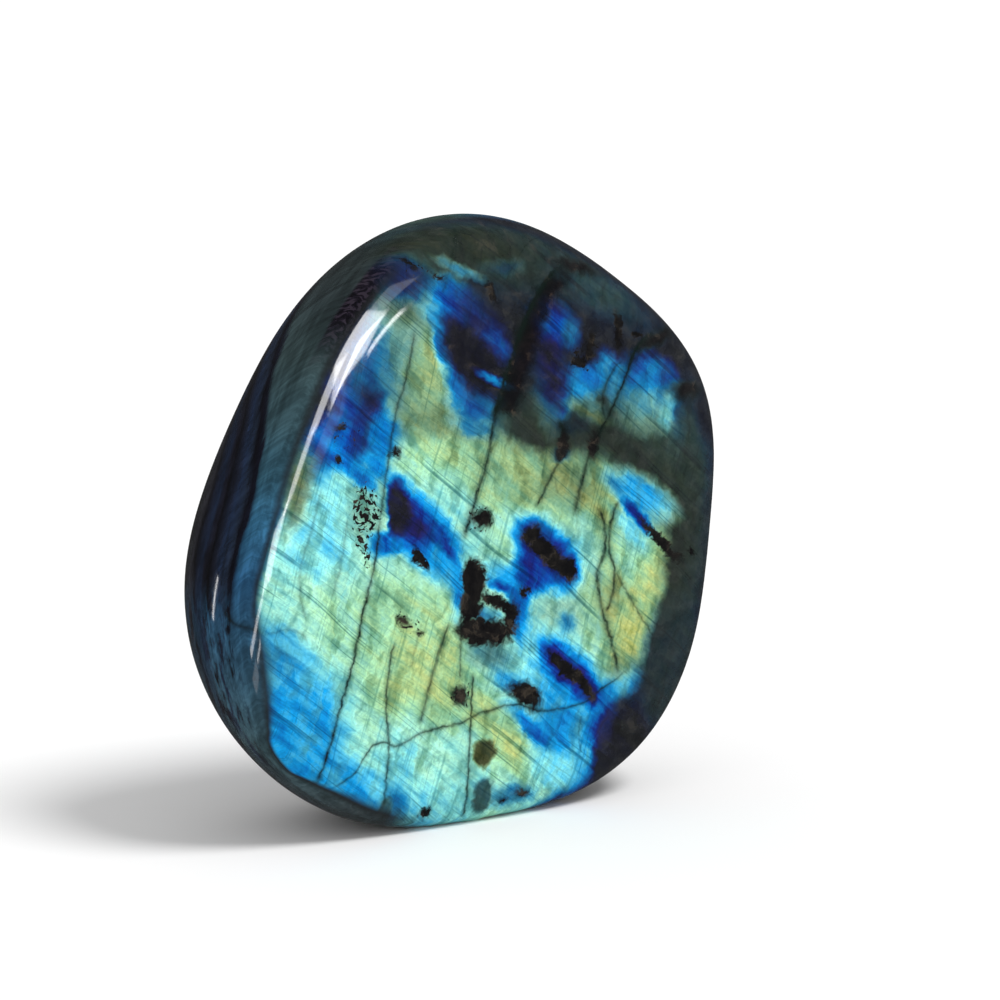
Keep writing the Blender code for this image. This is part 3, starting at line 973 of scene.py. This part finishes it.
def stone_textures(graph, sheet):
    """The noises and hatching that every part of the stone shares."""
    rolled = sheet.shaken(0.10, 2.4, 1.0)
    soft = rolled.shaken(0.42, 1.8, 2.0, 0.6)
    ragged = soft.shaken(1.0, 2.0, 3.0, 0.7)
    calm = sheet.shaken(0.50, 1.0, 3.0, 0.65)
    straight = sheet.shaken(0.05, 1.6, 1.0)
    cloud = graph.noise(soft.stretched(*CLOUDS), 1.0, 3.0, 0.55)["Fac"]
    streak = graph.noise(straight.stretched(*STREAKS), 1.0, 3.0, 0.6)["Fac"]

    # Upright panels between cleavage cracks, each a little lighter or darker.
    panel = graph.parts(graph.cells(soft.stretched(*CLEAVAGE_PANELS), 1.0)["Color"])

    # What bends the flash's order.
    drift = graph.math("MULTIPLY_ADD", streak, 0.20, -0.10)
    drift = graph.math("MULTIPLY_ADD", cloud, -0.20, drift)
    drift = graph.math("MULTIPLY_ADD", panel[0], 0.05, drift)
    drift = graph.math("ADD", drift, 0.075)

    # Clouds, panels and fine grain inside the flash, and hatching along the cleavage.
    grit = graph.noise(soft.at(0), 1.6, 2.0, 0.6)["Fac"]
    hatch = 0.0
    for turn, spacing, width, length, strength in HATCHES:
        lines = hatching(graph, straight, turn, spacing, width, length)
        hatch = graph.math("MAXIMUM", hatch, graph.product(lines, strength))
    shade = graph.product(
        graph.step(cloud, 0.28, 0.54, 0.60, 1.02),
        graph.step(streak, 0.34, 0.56, 0.80, 1.03),
        graph.line(grit, 0.3, 0.7, 0.86, 1.08),
        graph.line(panel[1], 0.0, 1.0, 0.84, 1.07),
        graph.line(hatch, 0.0, 1.0, 1.0, DARKEST_HATCH))

    # The shade takes most of the red and least of the blue.
    red = graph.math("POWER", shade, 1.45)
    shade = graph.joined(red, shade, graph.math("POWER", shade, 0.88))
    return {
        "soft": soft.at(0),
        "ragged": ragged.at(0),
        "calm": calm.at(0),
        "drift": drift,
        "shade": shade,
        "mottle": graph.noise(ragged.at(0), 0.30, 3.0, 0.65)["Fac"],
        "specks": graph.noise(soft.at(0), 1.15, 1.0, 0.6)["Fac"],
    }


def face_colour(graph, shared, pattern, band):
    """The colour of the front or back face, and how much of it is crack or grain."""
    soft, ragged, calm = [
        Sheet(graph, graph.vector("SUBTRACT", shared[name], pattern["slide"]))
        for name in ("soft", "ragged", "calm")]
    mottle = shared["mottle"]
    field = flash_field(graph, soft, ellipses_near(band, pattern["zones"]), pattern["start"])
    order, strength, warmth = graph.parts(field)
    colour = graph.ramp(graph.math("ADD", order, shared["drift"]), FLASH_ORDERS)
    colour = graph.shaded(colour, shared["shade"])

    # What shows where there's no flash.
    if pattern["folded"]:
        fold = dark_fold(graph, soft)
        strength = graph.product(strength, graph.line(fold, 0.0, 1.0, 1.0, FLASH_IN_FOLD))
        warmth = graph.math("MAXIMUM", warmth, fold)
    slate = graph.ramp(mottle, SLATE_TONES)
    dark = graph.mix("RGBA", warmth, slate, graph.ramp(mottle, BROWN_TONES))
    colour = graph.mix("RGBA", strength, dark, colour)

    # Cracks and dark grains.
    crack = cracks(graph, calm, pattern, band)
    crack = graph.product(crack, graph.line(mottle, 0.38, 0.7, 1.0, 0.7))
    colour = graph.darkened(colour, crack, CRACK_TONE)
    specks = [item for item in pattern["specks"] if near(band, item[0][1], 1.6 * max(item[1]))]
    grain = graph.math(
        "MAXIMUM",
        dark_grains(graph, ragged, ellipses_near(band, pattern["grains"])),
        black_specks(graph, soft, specks, shared["specks"]))
    colour = graph.mix("RGBA", grain, colour, graph.ramp(mottle, GRAIN_TONES))
    return colour, graph.math("MAXIMUM", crack, grain)


def rim_colour(graph, shared, behind, up):
    """The left rim: petrol blue, with dark stripes that run along it."""
    rim = Sheet(graph, graph.joined(behind, up))
    mottle = graph.noise(rim.stretched(0, 2.6, 15.0), 1.0, 4.0, 0.62)["Fac"]
    about = graph.math("SUBTRACT", mottle, 0.5)
    place = graph.math("MULTIPLY_ADD", about, STRIPES_WANDER, behind)
    moved = graph.step(up, *STRIPES_RISE, 0.0, STRIPES_MOVE)
    place = graph.math("SUBTRACT", place, moved)

    tall = [(height / RIM_TOP, tone) for height, tone in RIM_TONES]
    petrol = graph.ramp(graph.product(up, 1.0 / RIM_TOP), tall)
    deep = [(depth / RIM_DEEPEST, tone) for depth, tone in RIM_STRIPES]
    stripes = graph.ramp(graph.product(place, 1.0 / RIM_DEEPEST), deep)

    # Below the middle the first stripes break up.
    broken = graph.noise(rim.stretched(0, 2.0, 7.0), 1.0, 3.0, 0.6)["Fac"]
    holes = graph.product(
        graph.step(up, 52.0, 40.0),
        graph.step(broken, 0.36, 0.56),
        graph.step(behind, 11.0, 14.0, 0.9, 0.3))
    share = graph.product(graph.step(place, *STRIPES_FROM), graph.math("SUBTRACT", 1.0, holes))
    colour = graph.mix("RGBA", share, petrol, stripes)

    # Soft upright streaks, clouds and grit.
    shade = graph.product(
        graph.step(mottle, 0.34, 0.62, 0.72, 1.34),
        graph.line(shared["specks"], 0.3, 0.7, 0.82, 1.16),
        graph.line(shared["mottle"], 0.35, 0.65, 0.80, 1.26))
    colour = graph.shaded(colour, graph.joined(shade, shade, shade))

    # The purple band, the dark line on the edge, and the crack.
    band = graph.product(graph.step(behind, *PURPLE_DEPTH), graph.step(up, *PURPLE_HEIGHT))
    colour = graph.mix("RGBA", band, colour, graph.ramp(shared["specks"], PURPLE_TONES))
    colour = graph.darkened(colour, graph.step(behind, 1.1, 0.3, 0.0, 0.75), RIM_LINE_TONE)
    crack = bent_line(graph, behind, up, RIM_CRACK, 0.5, 0.75)
    return graph.darkened(colour, crack, RIM_CRACK_TONE)


def base_colour(graph, place):
    """The sawn base: grey stone with fine saw marks."""
    marks = graph.noise(graph.vector("MULTIPLY", place, SAW_MARK_STRETCH), 1.0, 2.0)["Fac"]
    cloud = graph.noise(place, 0.09, 3.0, 0.6)["Fac"]
    tone = graph.ramp(cloud, BASE_TONES)
    cuts = graph.step(marks, 0.60, 0.44, 0.0, 0.35)
    return graph.darkened(tone, cuts, SAW_MARK_TONE), marks


def polished(graph, colour, roughness):
    """A shader for the polished stone."""
    shader = graph.node("ShaderNodeBsdfPrincipled")
    graph.feed(shader.inputs["Base Color"], colour)
    graph.feed(shader.inputs["Roughness"], roughness)
    shader.inputs["IOR"].default_value = POLISH_IOR
    return shader


def either(graph, share, first, second):
    """The first shader where share is 0, and the second where it is 1."""
    return graph.fed("ShaderNodeMixShader", (share, first.outputs[0], second.outputs[0]))


def stone_material():
    material, graph, base = new_material("labradorite")
    texture = graph.node("ShaderNodeTexCoord")
    scale = 1.0 / MM
    place = graph.vector("MULTIPLY", texture.outputs["Object"], (scale, scale, scale))
    right, depth, up = graph.parts(place)
    _, facing_back, facing_up = graph.parts(texture.outputs["Normal"])

    # The pattern, slid behind the front face.
    slide = graph.math("SUBTRACT", depth, FACE_DEPTH)
    slide = graph.math("MULTIPLY_ADD", up, -FACE_LEAN, slide)
    slide = graph.math("MAXIMUM", slide, 0.0)
    height = graph.math("ADD", up, slide)
    sheet = Sheet(graph, graph.joined(graph.math("ADD", right, slide), height))
    shared = stone_textures(graph, sheet)
    smear = graph.line(shared["specks"], 0.3, 0.7, *POLISH_ROUGHNESS)

    def face(name, pattern, band):
        """A polished shader for one band of a face."""
        colour, flaws = graph.boxed(
            name, shared, (("colour", "RGBA"), ("flaws", "VALUE")),
            lambda inner, given: face_colour(inner, given, pattern, band))
        rough = graph.math("MULTIPLY_ADD", flaws, FLAW_ROUGHNESS, smear)
        return polished(graph, colour, rough)

    # The front, band by band, and the back, over the rim.
    shader = face("front_foot", FRONT, (WHOLE[0], BAND_CUTS[0]))
    middle = face("front_middle", FRONT, BAND_CUTS)
    shader = either(graph, graph.math("GREATER_THAN", height, BAND_CUTS[0]), shader, middle)
    top = face("front_top", FRONT, (BAND_CUTS[1], WHOLE[1]))
    shader = either(graph, graph.math("GREATER_THAN", height, BAND_CUTS[1]), shader, top)
    back = face("back", BACK, WHOLE)
    shader = either(graph, graph.step(facing_back, *BACK_FACING), shader, back)

    # The left rim.
    _, behind = from_curve(graph, up, depth, RIM_EDGE)
    rim = polished(graph, rim_colour(graph, shared, behind, up), smear)
    on_rim = graph.product(
        graph.step(behind, -0.5, 0.4),
        graph.step(right, *RIM_RIGHT),
        graph.step(facing_back, *RIM_FACING))
    shader = either(graph, on_rim, shader, rim)

    # The sawn base.
    colour, marks = base_colour(graph, place)
    graph.feed(base.inputs["Base Color"], colour)
    base.inputs["Roughness"].default_value = BASE_ROUGHNESS
    bump = graph.node("ShaderNodeBump")
    bump.inputs["Strength"].default_value = SAW_MARK_STRENGTH
    bump.inputs["Distance"].default_value = SAW_MARK_DEPTH
    graph.feed(bump.inputs["Height"], marks)
    graph.feed(base.inputs["Normal"], bump.outputs[0])
    shader = either(graph, graph.math("LESS_THAN", facing_up, BASE_FACING), shader, base)
    output = graph.tree.nodes["Material Output"]
    graph.tree.links.new(shader.outputs[0], output.inputs["Surface"])
    return material


def new_object(name, data):
    """An object in the scene that holds some data."""
    made = bpy.data.objects.new(name, data)
    bpy.context.scene.collection.objects.link(made)
    return made


def turn_object(made, turn):
    made.rotation_mode = "QUATERNION"
    made.rotation_quaternion = turn


def make_stone():
    shape = box_cage()
    blow_up(shape)
    saw_base(shape)
    mesh = bpy.data.meshes.new("stone_skin")
    shape.to_mesh(mesh)
    shape.free()
    mesh.shade_smooth()
    mesh.set_sharp_from_angle(angle=SHARP_EDGE)
    mesh.materials.append(stone_material())
    stone = new_object("stone_skin", mesh)
    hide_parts(NODE)
    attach(stone, "root")


# Studio: camera, floor and lights

def towards(azimuth, elevation):
    """A direction away from the stone. Azimuth 0 is the front and 90 the right."""
    a = math.radians(azimuth)
    e = math.radians(elevation)
    return Vector((math.sin(a) * math.cos(e), -math.cos(a) * math.cos(e), math.sin(e)))


def make_camera():
    back = towards(CAMERA_AZIMUTH, CAMERA_ELEVATION)
    right = Vector((0.0, 0.0, 1.0)).cross(back).normalized()
    up = back.cross(right)
    per_pixel = CAMERA_DISTANCE * SENSOR / CAMERA_LENS / PICTURE
    target = (AIM + right * (PICTURE / 2 - AIM_PIXEL[0]) * per_pixel
              + up * (AIM_PIXEL[1] - PICTURE / 2) * per_pixel)
    eye = AIM + back * CAMERA_DISTANCE

    lens = bpy.data.cameras.new("camera")
    lens.lens = CAMERA_LENS
    lens.sensor_width = SENSOR
    lens.clip_start = NEAREST_SEEN
    camera = new_object("camera", lens)
    camera.location = eye
    turn_object(camera, (target - eye).to_track_quat("-Z", "Y"))
    bpy.context.scene.camera = camera


def make_floor():
    bpy.ops.mesh.primitive_plane_add(size=FLOOR_SIZE, location=(0.0, 0.0, 0.0))
    floor = bpy.context.object
    floor.name = "floor"
    material, graph, shader = new_material("white_floor")
    grain = graph.noise(graph.node("ShaderNodeTexCoord").outputs["Object"], 6.0)
    tones = [paint_tone(tone) for tone in FLOOR_TONES]
    graph.feed(shader.inputs["Base Color"], graph.mix("RGBA", grain["Fac"], *tones))
    shader.inputs["Roughness"].default_value = FLOOR_ROUGHNESS
    shader.inputs["Specular IOR Level"].default_value = 0.0
    floor.data.materials.append(material)
    floor.visible_glossy = False


def make_world():
    """A white dome for soft light, which polished surfaces see as a dark studio."""
    world = bpy.data.worlds.new("studio")
    world.use_nodes = True
    graph = Graph(world.node_tree)
    background = graph.tree.nodes["Background"]
    in_gloss = graph.node("ShaderNodeLightPath").outputs["Is Glossy Ray"]
    strength = graph.line(in_gloss, 0.0, 1.0, DOME_LIGHT, DOME_IN_GLOSS)
    graph.feed(background.inputs["Strength"], strength)
    background.inputs["Color"].default_value = (1.0, 1.0, 1.0, 1.0)
    bpy.context.scene.world = world


def make_key():
    """A broad soft key from the upper right, which throws the shadow to the left."""
    lamp = bpy.data.lights.new("key", "SUN")
    lamp.energy = KEY_LIGHT
    lamp.angle = KEY_SPREAD
    key = new_object("key", lamp)
    turn_object(key, (-towards(KEY_AZIMUTH, KEY_ELEVATION)).to_track_quat("-Z", "Y"))
    key.visible_glossy = False


# Panels that show in the polish alone: azimuth, elevation, width and height in degrees
# as the stone sees them, roll and radiance. The first ones draw the long highlight.
PANELS = {
    "window": (-1.0, 23.6, 23.5, 14.0, -41.0, 12.0),
    "window_right": (7.6, 16.6, 9.5, 8.0, 0.0, 12.0),
    "window_left": (-9.6, 18.6, 11.0, 9.0, -15.0, 8.6),
    "window_low": (-12.4, 12.0, 8.0, 6.0, 0.0, 8.0),
    "window_foot": (-19.6, 5.0, 13.0, 10.5, 0.0, 8.5),
    "tail": (-40.0, -8.4, 38.0, 3.4, 24.0, 6.5),
    "hook": (-32.0, -13.5, 14.0, 1.5, 24.0, 7.0),
    "hook_haze": (-52.0, -23.0, 24.0, 6.0, 24.0, 1.4),
    "thin_line": (16.4, 13.6, 6.6, 2.0, 39.0, 16.0),
    "dim_side": (5.0, 4.5, 14.0, 9.0, 45.0, 0.8),
    "dim_top": (7.0, 33.0, 16.0, 9.0, -41.0, 1.6),
    "rim_line": (-131.5, -5.7, 13.5, 1.0, 62.0, 8.0),
}
PANEL_DISTANCE = 0.6


def make_panel(name, azimuth, elevation, width, height, roll, radiance):
    """A rectangular light that faces the stone and shows in its polish alone."""
    metres = PANEL_DISTANCE * math.radians(1.0)
    size = (width * metres, height * metres)
    lamp = bpy.data.lights.new(name, "AREA")
    lamp.shape = "RECTANGLE"
    lamp.size, lamp.size_y = size
    lamp.energy = radiance * size[0] * size[1] * math.pi
    panel = new_object(name, lamp)
    away = towards(azimuth, elevation)
    panel.location = AIM + away * PANEL_DISTANCE
    facing = (-away).to_track_quat("-Z", "Y")
    turn_object(panel, facing @ Quaternion((0.0, 0.0, 1.0), math.radians(roll)))
    panel.visible_camera = False
    panel.visible_diffuse = False


make_stone()
make_camera()
make_floor()
make_world()
make_key()
for name, measures in PANELS.items():
    make_panel(name, *measures)
bpy.context.scene.view_settings.view_transform = "Standard"
